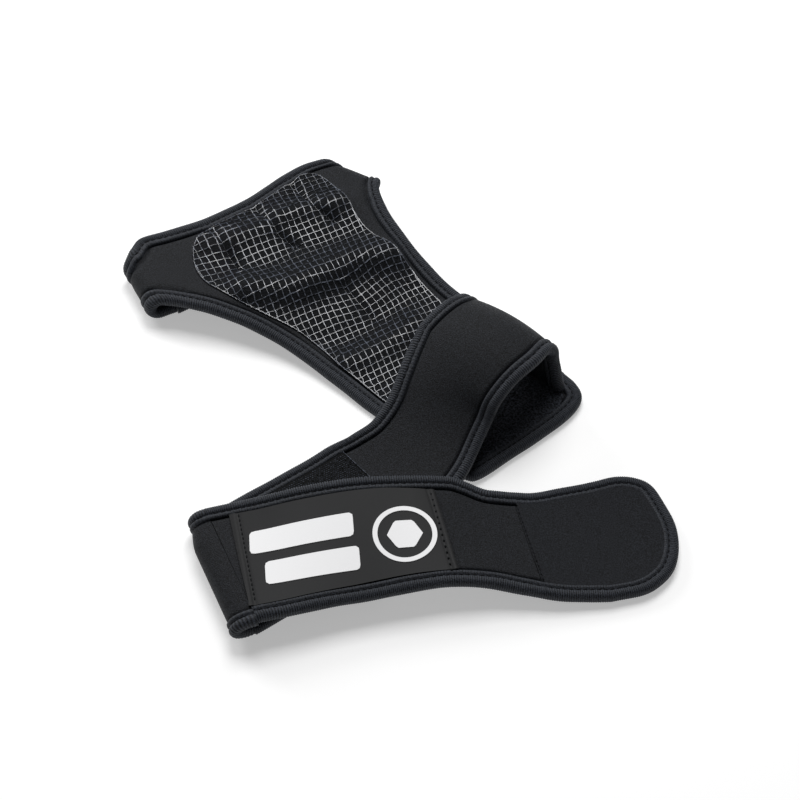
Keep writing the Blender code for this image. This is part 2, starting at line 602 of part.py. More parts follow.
def build():
    """Every piece of the grip."""
    for thing in list(bpy.data.objects):
        bpy.data.objects.remove(thing, do_unlink=True)
    cloth, tape = (BLACK_CLOTH, 0.75), (BLACK_TAPE, 0.6)
    build_palm((FIXED, *cloth), (FIXED, *tape))
    build_band((FIXED, *cloth), (FIXED, *tape))
    build_palm_patches((FIXED, GREY_SILICONE, 0.35), (FIXED, BLACK_PILE, 0.95), (FIXED, *tape))
    build_dividers((FIXED, *tape))
    build_strap((ROOT_PIVOT, *cloth), (ROOT_PIVOT, *tape), (ROOT_PIVOT, BLACK_HOOK, 0.5))
    build_fold((FOLD_PIVOT, *cloth), (FOLD_PIVOT, *tape))
    build_label_strap(
        (FOLD_PIVOT, *cloth), (FOLD_PIVOT, *tape), (FOLD_PIVOT, BLACK_RUBBER, 0.5), (FOLD_PIVOT, WHITE_PRINT, 0.5)
    )
    build_tab((TAB_PIVOT, *cloth), (TAB_PIVOT, *tape), (TAB_PIVOT, BLACK_CLOTH, 0.6))


build()
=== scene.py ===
"""A black palm grip with its wrist strap folded over in front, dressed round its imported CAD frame.

The cloth, tape, silicone net, pile, hooks, label and stitches are meshes laid out by the same maps
as the CAD: a piece is drawn flat, then bent into place. Lengths are in millimetres until then.
"""

import math

import bmesh
import bpy
import numpy as np
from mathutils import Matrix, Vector
from mathutils.geometry import delaunay_2d_cdt


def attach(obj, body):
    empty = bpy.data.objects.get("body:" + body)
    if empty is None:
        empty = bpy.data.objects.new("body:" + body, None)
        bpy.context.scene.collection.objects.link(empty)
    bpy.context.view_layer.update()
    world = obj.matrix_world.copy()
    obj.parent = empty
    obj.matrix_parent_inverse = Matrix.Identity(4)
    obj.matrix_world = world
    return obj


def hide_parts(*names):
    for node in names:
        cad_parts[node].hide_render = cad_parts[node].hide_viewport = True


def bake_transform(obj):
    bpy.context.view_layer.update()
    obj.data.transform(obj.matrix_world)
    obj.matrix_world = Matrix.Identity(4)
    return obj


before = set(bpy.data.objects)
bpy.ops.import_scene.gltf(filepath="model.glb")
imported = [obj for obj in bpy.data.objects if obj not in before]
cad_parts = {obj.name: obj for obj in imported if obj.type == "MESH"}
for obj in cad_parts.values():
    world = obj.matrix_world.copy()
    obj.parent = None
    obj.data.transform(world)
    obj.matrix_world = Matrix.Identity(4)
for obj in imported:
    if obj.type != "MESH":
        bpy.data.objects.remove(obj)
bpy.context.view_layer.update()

MM = 0.001
CENTRE_X, CENTRE_Y = -4.867, 2.940  # middle of the laid-out grip

# Cloth and tape
PANEL = 3.0  # neoprene with its two jersey faces
TAPE = 0.6  # binding tape
TAPE_GAP = 0.4  # between tape and neoprene
TAPE_WIDTH = 6.2  # what shows of the tape on each face
RIM = 1.3  # from the outer edge of the tape to the edge of the neoprene
HALF_BOUND = PANEL / 2 + TAPE_GAP + TAPE  # half the thickness of a bound edge
BED = HALF_BOUND  # height of a panel's middle where its bound edge lies on the table

# Palm: u runs from the finger edge to the wrist, s across towards the thumb
PALM_X, PALM_Y, PALM_HEADING = -68.0, 104.0, -47.7
ROW_ANGLE = ((0, 32.5), (18, 37.0), (36, 41.3), (50, 42.3))
PALM_HEIGHT = ((0, 12.6), (30, 12.9), (50, 10.6), (70, 6.8), (95, 3.6), (120, BED), (190, BED))
FOLD_LEFT = ((0, 55.2), (12, 60.2), (25, 63.7), (40, 66.2))
FOLD_RIGHT = ((0, 40.2), (12, 43.3), (25, 46.5), (40, 51.5))
FINGER_EDGE = (
    (-92, 1.7), (-62, 1.7), (-50, -3.8), (-40, -2), (-21, 0.7), (-8, 0.7), (0, 0.2), (12, -1.8),
    (21, -3.8), (33, -4.9), (39, -4.1), (52, 0.1), (62, 1.7), (80, 1.7),
)
WING_LEFT, WING_RIGHT = -86.0, 70.0  # where the wings meet the back-of-hand band
LEFT_SIDE = (
    (26, -86), (25, -80), (24.5, -73), (26, -67), (29.8, -62), (35, -57.8), (43, -52.2), (57, -45),
    (74, -39.4), (97, -36), (122, -34.4), (150, -32), (166, -30.6),
)
WRIST_END = (
    (166, -30.6), (173, -29.2), (176.4, -25), (177.5, -10), (178.3, 5), (178.4, 20), (177.1, 30.2),
    (173.8, 36), (167.5, 38.6), (160, 39),
)
RIGHT_SIDE = (
    (160, 39), (150, 39), (120, 38), (94, 37), (78, 37.8), (61, 39.7), (46, 42.8), (34, 47.8),
    (28.3, 53), (26.3, 59.5), (26.7, 65), (27.2, 70),
)
BAND_REAR = ((-70, 26), (-45, 28), (-20, 30), (10, 27), (30, 27), (52, 28))
BAND_FRONT = 1.7  # u of the band's straight front edge

# Strap: a runs along it from the seam on the wrist end, b across towards the palm
FOOT_X, FOOT_Y, FOOT_Z = 46.7, 17.7, 5.4
HEADING = (
    (0, 231.5), (18, 231.5), (30, 229), (42, 220), (58, 223), (74, 237), (88, 239), (102, 234),
    (115, 222), (126, 217), (212, 217), (228, 212), (256, 216), (283, 222), (308, 223.5),
    (338, 221.5), (386, 222.5),
)
PITCH = (
    (0, 86), (7.5, 92), (15.5, 94), (21.5, 66), (29.5, 22), (37.5, 0), (51, -25), (63, -34),
    (79, -27), (91, -18), (105, -13), (121, -9.5), (142, 0), (400, 0),
)
FOLD_AT, FOLD_AXIS, FOLD_RADIUS = 189.0, 113.0, 5.0
FOLD_BULGE = 0.62  # how much further the fold reaches at its open end
BULGE_FROM, BULGE_OVER = 27.0, 16.0  # where the bulge begins along the fold, and its run-in
FOLD_HEADING = 217.0  # which way the strap runs where it folds
FOLD_HALF = 28.0  # about half the strap's width there
ARCH_CROWN = ((0, 0), (12, 0.3), (24, 1.9), (36, 2.2), (60, 1.7), (90, 0.7), (110, 0.2), (120, 0))
CROWN_REACH = 19.0  # how far from the strap's middle the arch is raised; past it the edges droop
LABEL_RISE = (
    (197, 0), (217, 1.5), (237, 2), (257, 2), (277, 1.6), (292, 0.2), (304, -2.3), (317, -5.1),
    (337, -8.3), (357, -9.6), (386, -10),
)
LABEL_TILT = (
    (197, 0), (217, 0.04), (237, 0.1), (257, 0.14), (277, 0.1), (292, 0.05), (304, 0), (386, 0),
)
UPPER_EDGE = (
    (0, 24), (13, 24), (26, 25.2), (40, 26.2), (53, 26), (62, 23), (71, 19.8), (83, 18.1), (92, 19),
    (105, 23.4), (124, 27.3), (182, 28.8), (217, 29.2), (237, 29), (277, 28), (292, 28.6),
    (300, 26.8), (308, 24.5), (322, 24.6), (337, 27.6), (352, 31),
)
LOWER_EDGE = (
    (0, 27), (10, 24.6), (18, 22.6), (26, 22.6), (36, 24.2), (57, 25.2), (80, 26), (97, 27.2),
    (122, 26.5), (182, 29.5), (200, 28.9), (217, 26.9), (237, 25.8), (254, 25.3), (277, 23.6),
    (292, 22.3), (306, 22.5), (320, 24.4), (336, 26.6), (352, 27),
)
TAB_END = (
    (352, 31), (361, 32.9), (368.8, 31.8), (375, 27.3), (379.3, 17.2), (382, 6.5), (381.6, -4),
    (378.5, -13.5), (373, -20), (365, -24.6), (352, -27),
)

# Ridges and creases of the palm: height, width, and run in (u, s)
RELIEF = (
    (2.9, 6.5, ((15, -27), (19, -14), (20, -4), (18.5, 5), (22, 13), (27, 26))),
    (3.4, 7.5, ((43, -32), (52, -20), (55, -8), (58, 11), (64, 26))),
    (2.0, 6.5, ((96, -25), (100, -8), (99, 9))),
    (-1.0, 7.0, ((30, -33), (37, -20), (36, -4), (41, 8), (44, 21))),
    (-1.1, 8.0, ((79, -27), (86, -18), (86, 8), (84, 22))),
    (-1.5, 2.6, ((4, -1), (17, -2), (27, -4), (36, -2))),
    (-1.6, 2.8, ((1, 21.5), (11, 19.6), (24, 17.8), (35, 19.7))),
    (-1.5, 2.6, ((6, -24), (17, -26), (30, -29))),
    (-0.8, 2.2, ((64, 0), (75, -0.5), (86, -0.7))),
)
PALM_SIDE = ((0, 60), (30, 54), (57, 45), (97, 37), (166, 31))  # how far the relief reaches


def smooth(x, pairs):
    """Height at x of a smooth curve through given pairs, level past its ends, never overshooting."""
    k, v = np.asarray(pairs, float).T
    x = np.clip(np.asarray(x, float), k[0], k[-1])
    rise = np.diff(v) / np.diff(k)
    both = rise[:-1] * rise[1:]
    inner = np.where(both > 0, 2 * both / np.where(both > 0, rise[:-1] + rise[1:], 1), 0)
    slope = np.concatenate([rise[:1], inner, rise[-1:]])
    i = np.clip(np.searchsorted(k, x, side="right") - 1, 0, len(k) - 2)
    h = k[i + 1] - k[i]
    t = (x - k[i]) / h
    start = (1 + 2 * t) * (1 - t) ** 2 * v[i] + t * (1 - t) ** 2 * h * slope[i]
    return start + t * t * (3 - 2 * t) * v[i + 1] + t * t * (t - 1) * h * slope[i + 1]


def ease(x):
    """Smooth step from 0 to 1."""
    x = np.clip(x, 0, 1)
    return x * x * (3 - 2 * x)


def curve(points, steps):
    """Catmull-Rom run through given points, steps to each stretch."""
    p = np.asarray(points, float)
    q = np.vstack([2 * p[0] - p[1], p, 2 * p[-1] - p[-2]])
    t = np.linspace(0, 1, steps, endpoint=False)[:, None]
    runs = []
    for a, b, c, d in zip(q, q[1:], q[2:], q[3:]):
        square, cube = 2 * a - 5 * b + 4 * c - d, 3 * b - a - 3 * c + d
        runs.append(0.5 * (2 * b + (c - a) * t + square * t**2 + cube * t**3))
    return np.vstack(runs + [p[-1:]])


def turn(degrees):
    """Unit vector in plan, anticlockwise from +X."""
    return np.array([math.cos(math.radians(degrees)), math.sin(math.radians(degrees))])


def palm_row(u):
    """Middle and direction of the row across the palm at u."""
    along = turn(PALM_HEADING)
    angle = np.radians(smooth(u, ROW_ANGLE))
    return PALM_X + u * along[0], PALM_Y + u * along[1], np.cos(angle), np.sin(angle)


def from_run(p, q, run):
    """Distance of flat points from a run of straight stretches."""
    best = np.full(np.shape(p), 1e9)
    for (p0, q0), (p1, q1) in zip(run, run[1:]):
        dp, dq = p1 - p0, q1 - q0
        t = np.clip(((p - p0) * dp + (q - q0) * dq) / max(dp * dp + dq * dq, 1e-12), 0, 1)
        best = np.minimum(best, np.hypot(p - p0 - t * dp, q - q0 - t * dq))
    return best


def palm_relief(u, s):
    """Soft folds of the palm and the creases below the stitched dividers."""
    lift = sum(height * np.exp(-((from_run(u, s, run) / width) ** 2)) for height, width, run in RELIEF)
    off_front = ease((u - smooth(s, FINGER_EDGE) - 3) / 9)
    off_sides = ease((smooth(u, PALM_SIDE) - np.abs(s) - 4) / 10)
    return lift * off_front * off_sides


def palm_at(u, s):
    """Middle of the palm cloth, which rolls under at both folds."""
    u, s = np.broadcast_arrays(np.asarray(u, float), np.asarray(s, float))
    x, y, dx, dy = palm_row(u)
    height = smooth(u, PALM_HEIGHT)
    radius = np.maximum((height - BED) / 2, 0.05)
    fold = np.where(s < 0, smooth(u, FOLD_LEFT), smooth(u, FOLD_RIGHT))
    past = np.maximum(np.abs(s) - fold, 0)
    bend = np.minimum(past / radius, np.pi)
    under = np.maximum(past - np.pi * radius, 0)
    reach = np.where(past > 0, fold + radius * np.sin(bend) - under, np.abs(s)) * np.sign(s)
    z = height - radius * (1 - np.cos(bend)) + palm_relief(u, s)
    return np.stack([x + reach * dx, y + reach * dy, z], -1)


def band_at(u, s):
    """Middle of the band under the hand, flat on the table."""
    u, s = np.broadcast_arrays(np.asarray(u, float), np.asarray(s, float))
    x, y, dx, dy = palm_row(u)
    return np.stack([x + s * dx, y + s * dy, np.full(u.shape, BED)], -1)


STEPS_A = np.arange(0, 420.5, 0.5)  # steps along the strap, past its end


def strap_path():
    """Middle line of the unfolded strap at every step of its length."""
    a = (STEPS_A[1:] + STEPS_A[:-1]) / 2
    heading, pitch = np.radians(smooth(a, HEADING)), np.radians(smooth(a, PITCH))
    step = np.diff(STEPS_A)
    moves = (
        step * np.cos(pitch) * np.cos(heading),
        step * np.cos(pitch) * np.sin(heading),
        step * np.sin(pitch),
    )
    foot = (FOOT_X, FOOT_Y, FOOT_Z)
    return [start + np.concatenate([[0], np.cumsum(move)]) for start, move in zip(foot, moves)]


PATH_X, PATH_Y, PATH_Z = strap_path()
FOLD_POINT = np.array([np.interp(FOLD_AT, STEPS_A, PATH_X), np.interp(FOLD_AT, STEPS_A, PATH_Y)])
FOLD_OUT, FOLD_ALONG = turn(FOLD_AXIS + 90), turn(FOLD_AXIS)


def strap_at(a, b):
    """Middle of the strap cloth: over the arch, down to the table, and back over itself at the fold."""
    a, b = np.broadcast_arrays(np.asarray(a, float), np.asarray(b, float))
    across, pitch = np.radians(smooth(a, HEADING) - 90), np.radians(smooth(a, PITCH))
    crown = smooth(a, ARCH_CROWN) * (1 - (b / CROWN_REACH) ** 2)
    x = np.interp(a, STEPS_A, PATH_X) + b * np.cos(across) + crown * np.sin(pitch) * np.sin(across)
    y = np.interp(a, STEPS_A, PATH_Y) + b * np.sin(across) - crown * np.sin(pitch) * np.cos(across)
    past = np.maximum((x - FOLD_POINT[0]) * FOLD_OUT[0] + (y - FOLD_POINT[1]) * FOLD_OUT[1], 0)
    bend = np.minimum(past / FOLD_RADIUS, np.pi)
    back = np.maximum(past - np.pi * FOLD_RADIUS, 0)
    spread = (x - FOLD_POINT[0]) * FOLD_ALONG[0] + (y - FOLD_POINT[1]) * FOLD_ALONG[1]
    bulge = 1 + FOLD_BULGE * ease((BULGE_FROM - spread) / BULGE_OVER)
    shift = FOLD_RADIUS * bulge * np.sin(bend) - back - past
    z = np.interp(a, STEPS_A, PATH_Z) + crown * np.cos(pitch) + FOLD_RADIUS * (1 - np.cos(bend))
    z = z + smooth(a, LABEL_RISE) + smooth(a, LABEL_TILT) * b
    return np.stack([x + shift * FOLD_OUT[0], y + shift * FOLD_OUT[1], z], -1)


def fold_line(b, past):
    """Length along the strap, at b, that lies past the start of the fold."""
    along, across = turn(FOLD_HEADING) @ FOLD_OUT, turn(FOLD_HEADING - 90) @ FOLD_OUT
    return FOLD_AT + (past - across * np.asarray(b, float)) / along


def fold_at(past, b):
    """Middle of the strap cloth round the fold, by distance round it."""
    return strap_at(fold_line(b, past), b)


def wing_end(u, side):
    """Where a wing's end lies under the hand; side is -1 or 1."""
    fold, cloth = (smooth(u, FOLD_LEFT), -WING_LEFT) if side < 0 else (smooth(u, FOLD_RIGHT), WING_RIGHT)
    return side * (2 * fold + math.pi * (smooth(u, PALM_HEIGHT) - BED) / 2 - cloth)


FOLD_END = math.pi * FOLD_RADIUS  # length of cloth round the fold
SKIN = PANEL / 2  # from the middle of the neoprene to its face

# Flat outlines of the patches: in (u, s) on the palm, in (a, b) on the strap
GRIP_PATCH = (
    (7, -25), (9.5, -31.5), (12.5, -36.5), (17.5, -41), (24, -44.5), (30, -45.2), (36, -43.5),
    (44, -40.8), (56, -36.5), (66, -32.4), (76, -30), (97, -28.6), (122, -27.6), (131, -26),
    (134, -20), (134, 12), (131, 16), (123, 18.5), (116.5, 22), (112, 25), (89, 28.2), (74, 29.6),
    (62, 30), (52, 28.6), (41, 29.6), (28, 32.5), (16, 34), (8, 34), (3, 32), (0.8, 28.5),
)
GRIP_FRONT = (24, 18, 12, 6, 0, -6, -12, -19)  # s where the grip patch meets the finger edge's tape
LOOP_PATCH = (
    (137, -26), (168, -24.3), (171, -20), (173, 5), (172.5, 24), (170, 29), (163, 32), (137, 32),
)
SEAM_STRIP = ((120.5, 21), (160.5, 27.2), (161.5, 29.4), (159.5, 31.6), (120, 25.5))
HOOK_FROM, HOOK_TO = 117.0, 187.0
HOOK_PITCH, HOOK_ROW, HOOK_TURN = 0.95, 1.0, 35  # between hooks, between rows, and the rows' slant
LABEL = (
    (207.2, 22.8), (208.5, 0), (210, -21.3), (230, -19.9), (250, -19), (277, -17.1), (293.5, -15.9),
    (290, 0), (286.3, 20.8), (268, 22), (247, 22.3), (228, 22.6),
)
LABEL_LEFT, LABEL_RIGHT = (208.6, -0.034), (290.1, -0.19)  # the label's ends: a at b = 0, and slope
PRINT_BARS = (  # name, middle in (a, b), length, height
    ("label_bar_upper", 234.0, 7.3, 41.0, 10.4),
    ("label_bar_lower", 236.0, -7.6, 37.0, 10.4),
)
MARK = np.array([273.5, 0.5])  # middle of the ring and the hexagon
RING_OUTER, RING_INNER, HEXAGON = 12.5, 10.6, 7.0
TAB_AT, TAB_SLANT = 321.6, -0.205  # the tab's seam: a at b = 0, and slope
TAB_WIDEST = 352  # where the tab's straight sides end

# Silicone net
NET = ((-18.0, 2.95), (78.0, 3.3))  # direction and pitch of its two sets of strands
NET_MIDDLE, NET_REACH, NET_STEP, NET_LINES = np.array([66.0, -4.0]), 130, 0.8, 36
SWIRL_U, SWIRL_S, SWIRL_TURN, SWIRL_WIDE = 72.0, 9.0, 14.0, 17.0  # where it is pulled round, and how
STRAND, STRAND_LIFT, STRAND_SIDES = 0.25, 0.42, 6  # radius, height over the neoprene, sides

# Tape and stitches
EDGE_GAP = 0.2  # between the sections of a tape
END_TURN = 7.0  # length over which a tape turns to meet its neighbour
RIB = 0.88  # pitch of the tape's ribs
GROOVE_FROM, GROOVE_TO = -3.6, -4.3  # where the ribs stop and where the flat selvedge starts
STITCH_LIFT, STITCH_RADIUS = 1.9, 0.24
TAPE_PROFILE = (
    (0.0, 0.0), (-0.12, 0.95), (-0.5, 1.7), (-1.15, 2.2), (-2.0, 2.45), (-2.9, 2.4), (-3.5, 2.1),
    (-3.85, 1.65), (-4.2, 1.7), (-4.55, 2.1), (-5.2, 2.25), (-5.8, 2.1), (-6.2, 1.75), (-6.35, 0.7),
)

CLOTHS = (  # name, dark, light, grains to the metre, bump, sheen, roughness, gloss
    ("neoprene", 0.0003, 0.019, 2300, 0.7, 0.03, 0.65, 0.16),
    ("binding_tape", 0.001, 0.024, 1900, 0.5, 0.05, 0.6, 0.18),
    ("grip_base", 0.001, 0.009, 1800, 0.5, 0.0, 0.7, 0.08),
    ("loop_pile", 0.001, 0.05, 1300, 1.0, 0.02, 0.9, 0.18),
    ("hook_tape", 0.0005, 0.003, 2400, 0.6, 0.0, 0.6, 0.08),
    ("hook_loops", 0.002, 0.14, 1100, 0.3, 0.0, 0.4, 0.18),
    ("tab_cover_cloth", 0.003, 0.017, 2200, 0.3, 0.02, 0.8, 0.18),
    ("thread", 0.001, 0.008, 3000, 0.4, 0.0, 0.8, 0.18),
)

# Stage, in metres
LIGHTS = (  # name, place, width, watts
    ("top", (0.0, 0.55, 1.2), 0.7, 12.0),
    ("back", (0.3, 0.9, 0.8), 0.6, 3.0),
    ("left", (-0.8, 0.85, 0.6), 0.6, 8.0),
)
FLOOR_SHADE, FLOOR_GLOW, WORLD_GLOW = 0.78, 0.39, 0.08
LENS, ELEVATION = 108, 50  # the camera stands 1 m off


def rgb(value, blue=1.42):
    """Near-neutral colour, a little towards blue."""
    return (value, value * (0.7 + 0.3 * blue), value * blue, 1)


def new_material(name, colour, roughness, sheen=0.0):
    """Principled material and the nodes to build on."""
    m = bpy.data.materials.new(name)
    m.use_nodes = True
    nodes, links = m.node_tree.nodes, m.node_tree.links
    shader = nodes["Principled BSDF"]
    shader.inputs["Base Color"].default_value = colour
    shader.inputs["Roughness"].default_value = roughness
    shader.inputs["Specular IOR Level"].default_value = 0.18
    if sheen:
        shader.inputs["Sheen Weight"].default_value = sheen
        shader.inputs["Sheen Roughness"].default_value = 0.5
        shader.inputs["Sheen Tint"].default_value = (0.8, 0.85, 0.9, 1)
    where = nodes.new("ShaderNodeTexCoord").outputs["Object"]
    return m, nodes, links, shader, where


def noise(nodes, links, where, scale, detail=2.0):
    """Noise texture of scale cells to the metre."""
    n = nodes.new("ShaderNodeTexNoise")
    n.inputs["Scale"].default_value = scale
    n.inputs["Detail"].default_value = detail
    links.new(where, n.inputs["Vector"])
    return n.outputs["Fac"]


def ramp(nodes, links, source, low, high, dark, light):
    """Colours from dark to light as source goes from low to high."""
    r = nodes.new("ShaderNodeValToRGB")
    r.color_ramp.elements[0].position = low
    r.color_ramp.elements[1].position = high
    r.color_ramp.elements[0].color = dark
    r.color_ramp.elements[1].color = light
    links.new(source, r.inputs["Fac"])
    return r.outputs["Color"]


def bump(nodes, links, shader, source, strength, distance):
    """Surface roughness from a height."""
    b = nodes.new("ShaderNodeBump")
    b.inputs["Strength"].default_value = strength
    b.inputs["Distance"].default_value = distance
    links.new(source, b.inputs["Height"])
    links.new(b.outputs["Normal"], shader.inputs["Normal"])


def cloth_material(name, dark, light, grain, strength, sheen, roughness, gloss):
    """Speckled knit or woven cloth; grain is the number of grains to the metre."""
    m, nodes, links, shader, where = new_material(name, rgb(dark), roughness, sheen)
    shader.inputs["Specular IOR Level"].default_value = gloss
    speck = noise(nodes, links, where, grain)
    links.new(ramp(nodes, links, speck, 0.36, 0.68, rgb(dark), rgb(light)), shader.inputs["Base Color"])
    bump(nodes, links, shader, speck, strength, 0.0005)
    return m


def tape_material():
    """Binding tape, darker between its ribs and in the dips of its ladder: painted shade, partly the
    thread's own colour.
    """
    m, nodes, links, shader, where = new_material("ribbed_tape", rgb(0.02), 0.6, 0.06)
    speck = noise(nodes, links, where, 2000)
    rib_shade = nodes.new("ShaderNodeAttribute")
    rib_shade.attribute_name = "rib_shade"
    both = nodes.new("ShaderNodeMath")
    both.operation = "MULTIPLY_ADD"
    links.new(rib_shade.outputs["Fac"], both.inputs[0])
    both.inputs[1].default_value = 0.45
    links.new(speck, both.inputs[2])
    shade = ramp(nodes, links, both.outputs["Value"], 0.46, 1.05, rgb(0.001), rgb(0.046))
    links.new(shade, shader.inputs["Base Color"])
    bump(nodes, links, shader, both.outputs["Value"], 0.5, 0.0004)
    return m


def silicone_material():
    """Grey silicone, brighter and darker in patches; the brighter patches are painted glints."""
    m, nodes, links, shader, where = new_material("grip_silicone", rgb(0.1), 0.24)
    patch = noise(nodes, links, where, 700, 4)
    # The brighter patches in this colour are painted glints.
    links.new(ramp(nodes, links, patch, 0.36, 0.66, rgb(0.003), rgb(0.115)), shader.inputs["Base Color"])
    shader.inputs["Specular IOR Level"].default_value = 0.9
    bump(nodes, links, shader, noise(nodes, links, where, 1800), 0.3, 0.0003)
    return m


def rubber_material():
    """Matt label rubber with a fine skin."""
    m, nodes, links, shader, where = new_material("label_rubber", rgb(0.009, 1.15), 0.5)
    shader.inputs["Specular IOR Level"].default_value = 0.14
    bump(nodes, links, shader, noise(nodes, links, where, 2500), 0.12, 0.0002)
    return m


def print_material():
    """White print."""
    m, nodes, links, shader, where = new_material("label_print", (0.97, 0.97, 0.98, 1), 0.5)
    bump(nodes, links, shader, noise(nodes, links, where, 1500), 0.08, 0.0002)
    return m


def materials():
    """Every finish by name."""
    finishes = {row[0]: cloth_material(*row) for row in CLOTHS}
    finishes["ribbed_tape"] = tape_material()
    finishes["grip_silicone"] = silicone_material()
    finishes["label_rubber"] = rubber_material()
    finishes["label_print"] = print_material()
    return finishes


def place(obj, body, nodes=()):
    """A piece stands for its CAD nodes and rides its body; a piece of the fold keeps its place and rides
    none.
    """
    if nodes:
        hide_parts(*nodes)
    if body == "fold":
        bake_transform(obj)
    else:
        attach(obj, body)
    return obj


def solid(name, points, faces, finish_name):
    """Mesh object from points in millimetres."""
    shift = np.array([CENTRE_X, CENTRE_Y, 0.0])
    mesh = bpy.data.meshes.new(name)
    mesh.from_pydata((np.asarray(points) - shift) * MM, [], faces)
    bm = bmesh.new()
    bm.from_mesh(mesh)
    bmesh.ops.recalc_face_normals(bm, faces=bm.faces[:])
    bm.to_mesh(mesh)
    bm.free()
    mesh.shade_smooth()
    mesh.set_sharp_from_angle(angle=math.radians(55))
    mesh.materials.append(FINISHES[finish_name])
    obj = bpy.data.objects.new(name, mesh)
    bpy.context.scene.collection.objects.link(obj)
    return obj


def laid(surface, flat, lift):
    """Points of the laid-out cloth at flat, lifted off its middle."""
    p, q = flat[:, 0], flat[:, 1]
    d = 0.2  # half the step that its normals are measured over
    along = surface(p + d, q) - surface(p - d, q)
    across = surface(p, q + d) - surface(p, q - d)
    normal = np.cross(along, across) * (1 if surface in (palm_at, band_at) else -1)
    normal /= np.maximum(np.linalg.norm(normal, axis=1, keepdims=True), 1e-9)
    return surface(p, q) + normal * np.asarray(lift, float).reshape(-1, 1)


def run_of(path):
    """Distance along a path at each of its points."""
    return np.concatenate([[0], np.cumsum(np.linalg.norm(np.diff(path, axis=0), axis=1))])


def on_path(path, run, at):
    """Points at some distances along a path, where run is the distance at its own points."""
    return np.stack([np.interp(at, run, path[:, 0]), np.interp(at, run, path[:, 1])], 1)


def spaced(path, gap):
    """The same path with its points about gap apart."""
    path = np.asarray(path, float)
    run = run_of(path)
    return on_path(path, run, np.linspace(0, run[-1], max(2, math.ceil(run[-1] / gap) + 1)))


def edge_at(path, gap=EDGE_GAP, first=None, last=None):
    """Points and outward directions along an edge, cloth on its left; first and last turn the ends."""
    run = run_of(path)
    at = np.linspace(0, run[-1], max(3, math.ceil(run[-1] / gap) + 1))
    spots = [on_path(path, run, at + d) for d in (-1, 0, 1)]
    along = spots[2] - spots[0]
    out = np.stack([along[:, 1], -along[:, 0]], 1)
    out /= np.linalg.norm(out, axis=1, keepdims=True)
    for cut, near in ((first, at), (last, run[-1] - at)):
        if cut is not None:
            side = np.array(cut) * np.sign(np.sum(out * np.array(cut), axis=1, keepdims=True))
            share = np.clip(1 - near / END_TURN, 0, 1)[:, None]
            out = out + (side - out) * share
    return spots[1], out


def lean(edge):
    """Turn the outward directions of a wing's edge along the lines its cloth rolls about."""
    points, out = edge
    u, s = points.T
    fold = np.where(s < 0, smooth(u, FOLD_LEFT), smooth(u, FOLD_RIGHT))
    ahead = np.where(s < 0, smooth(u + 1, FOLD_LEFT), smooth(u + 1, FOLD_RIGHT))
    cloth = np.where(s < 0, -WING_LEFT, WING_RIGHT)
    share = np.clip(np.minimum(np.abs(s) - fold + 8, cloth - np.abs(s)) / 8, 0, 1)[:, None]
    turned = np.stack([np.ones(len(u)), (ahead - fold) * np.sign(s)], 1) * np.sign(out[:, :1])
    return points, out + (turned - out) * share


def inside(points, ring):
    """Which points lie inside a closed ring."""
    hit = np.zeros(len(points), bool)
    x, y = points.T
    for (x0, y0), (x1, y1) in zip(ring, np.roll(ring, -1, axis=0)):
        if y0 != y1:
            crosses = (y0 > y) != (y1 > y)
            hit ^= crosses & (x < (x1 - x0) * (y - y0) / (y1 - y0) + x0)
    return hit


def from_edge(points, ring):
    """Distance of each point from a closed ring."""
    best = np.full(len(points), 1e9)
    for a, b in zip(ring, np.roll(ring, -1, axis=0)):
        d = b - a
        t = np.clip(((points - a) @ d) / max(d @ d, 1e-12), 0, 1)
        best = np.minimum(best, np.linalg.norm(points - a - t[:, None] * d, axis=1))
    return best


def fill(outline, gap, bound=()):
    """Points and triangles that fill a flat outline, about gap apart, closer beside its bound edges."""
    ring = spaced(np.vstack([outline, outline[:1]]), gap)[:-1]
    low, high = ring.min(0), ring.max(0)
    rows = np.arange(low[1], high[1], gap * 0.866)  # the height of an even triangle
    columns = np.arange(low[0], high[0], gap)
    grid = np.array([(x + (j % 2) * gap / 2, y) for j, y in enumerate(rows) for x in columns])
    grid = grid[inside(grid, ring)]
    for edge in bound:
        grid = grid[np.abs(from_run(*grid.T, edge[0][::12]) - TAPE_WIDTH - 0.7) > 1.2]
    for edge in bound:
        beside = [(edge[0] - edge[1] * (TAPE_WIDTH + d))[::5] for d in (0.1, 0.5, 0.9, 1.4)]
        grid = np.vstack([grid] + beside)
    grid = grid[inside(grid, ring)]
    grid = grid[from_edge(grid, ring) > 0.4 * gap]
    points = np.vstack([ring, grid])
    sides = [(i, (i + 1) % len(ring)) for i in range(len(ring))]
    found = delaunay_2d_cdt([Vector(p) for p in points], sides, [], 1, 1e-7)
    return np.array([v[:] for v in found[0]]), np.array(found[2]), ring


